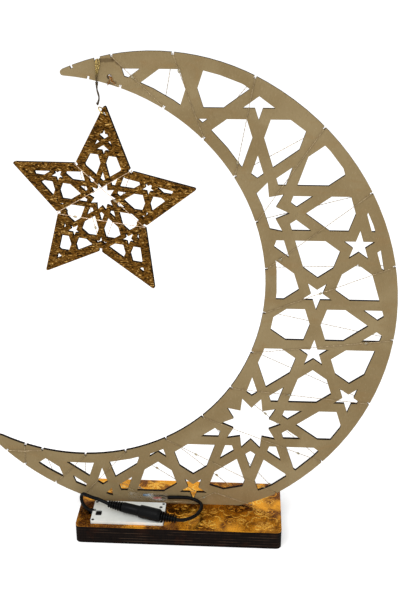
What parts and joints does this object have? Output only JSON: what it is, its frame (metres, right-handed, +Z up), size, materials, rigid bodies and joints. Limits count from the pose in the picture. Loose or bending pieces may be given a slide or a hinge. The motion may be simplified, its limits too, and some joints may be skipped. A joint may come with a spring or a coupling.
{
  "type": "crescent moon centerpiece",
  "caption": "Free-standing pierced crescent moon on a stacked board base, with a hanging pierced star, wire fairy lights and a battery box let into the base.",
  "frame": {"origin": "middle of the base's underside", "axes": "+Z up, +X towards the belly of the crescent, -Y towards the side with the battery box"},
  "size_m": [0.368, 0.0779, 0.4494],
  "materials": {
    "fibreboard": "raw laser-cut fibreboard, matt, with faint smoke marks",
    "charred_board": "laser-cut board with charred edges",
    "gold_card": "embossed mirror-gold card",
    "star_gold": "board faced with brushed, embossed gold film",
    "gold_thread": "twisted metallic thread",
    "copper_wire": "bare lacquered copper, dull",
    "gilt_wire": "gilt steel, pale",
    "steel": "nickel plated",
    "dark_steel": "blackened",
    "white_plastic": "moulded, satin",
    "black_plastic": "moulded, satin",
    "black_vinyl": "soft moulded vinyl, satin",
    "cell_wrap": "plain shrink wrap, gloss",
    "red_shrink": "heat-shrink sleeve",
    "blue_shrink": "heat-shrink sleeve",
    "clear_film": "clear adhesive film"
  },
  "bodies": {
    "stand": {"base_board_1": "charred_board", "base_board_2": "charred_board", "base_board_3": "charred_board", "base_board_4": "charred_board", "base_board_5": "charred_board", "base_board_6": "charred_board", "gold_card": "gold_card", "crescent_panel": "fibreboard", "horn_loop": "gold_thread", "fairy_string_right": "copper_wire", "fairy_string_left": "copper_wire", "battery_case": "white_plastic", "battery_lid": "white_plastic", "lid_screw_1": "dark_steel", "lid_screw_2": "dark_steel", "lid_screw_3": "dark_steel", "lid_screw_4": "dark_steel", "switch_housing": "black_plastic", "battery_cell_1": "cell_wrap", "contact_spring_1": "steel", "terminal_plate_1": "steel", "battery_cell_2": "cell_wrap", "contact_spring_2": "steel", "terminal_plate_2": "steel", "bridge_plate": "steel", "cable_grommet": "black_vinyl", "battery_cable": "black_vinyl", "plug_moulding": "black_vinyl", "plug_barrel": "steel", "lights_cable": "black_vinyl", "red_lead": "black_vinyl", "blue_lead": "black_vinyl", "red_sleeve": "red_shrink", "blue_sleeve": "blue_shrink", "clear_tape": "clear_film"},
    "hanging_thread": {"star_thread": "gold_thread"},
    "star": {"star_panel": "star_gold", "star_ring": "gilt_wire", "fairy_string_star": "copper_wire"},
    "slider": {"switch_slider": "black_plastic"},
    "socket": {"socket_moulding": "black_vinyl", "socket_pin": "steel"}
  },
  "joints": [
    {"name": "star_swing", "type": "hinge", "parent": "stand", "child": "hanging_thread", "pos_m": [-0.06399, 0.003, 0.42223], "axis": [0, 1, 0], "range_deg": [-15, 15]},
    {"name": "star_spin", "type": "hinge", "parent": "hanging_thread", "child": "star", "pos_m": [-0.06399, 0.003, 0.32166], "axis": [0, 0, 1], "continuous": true},
    {"name": "switch_slide", "type": "slide", "parent": "stand", "child": "slider", "axis": [0, 1, 0], "range_m": [0, 0.002]},
    {"name": "connector_pull", "type": "slide", "parent": "stand", "child": "socket", "axis": [0.9548, -0.2974, 0], "range_m": [0, 0.01], "deforming": ["lights_cable"]}
  ]
}
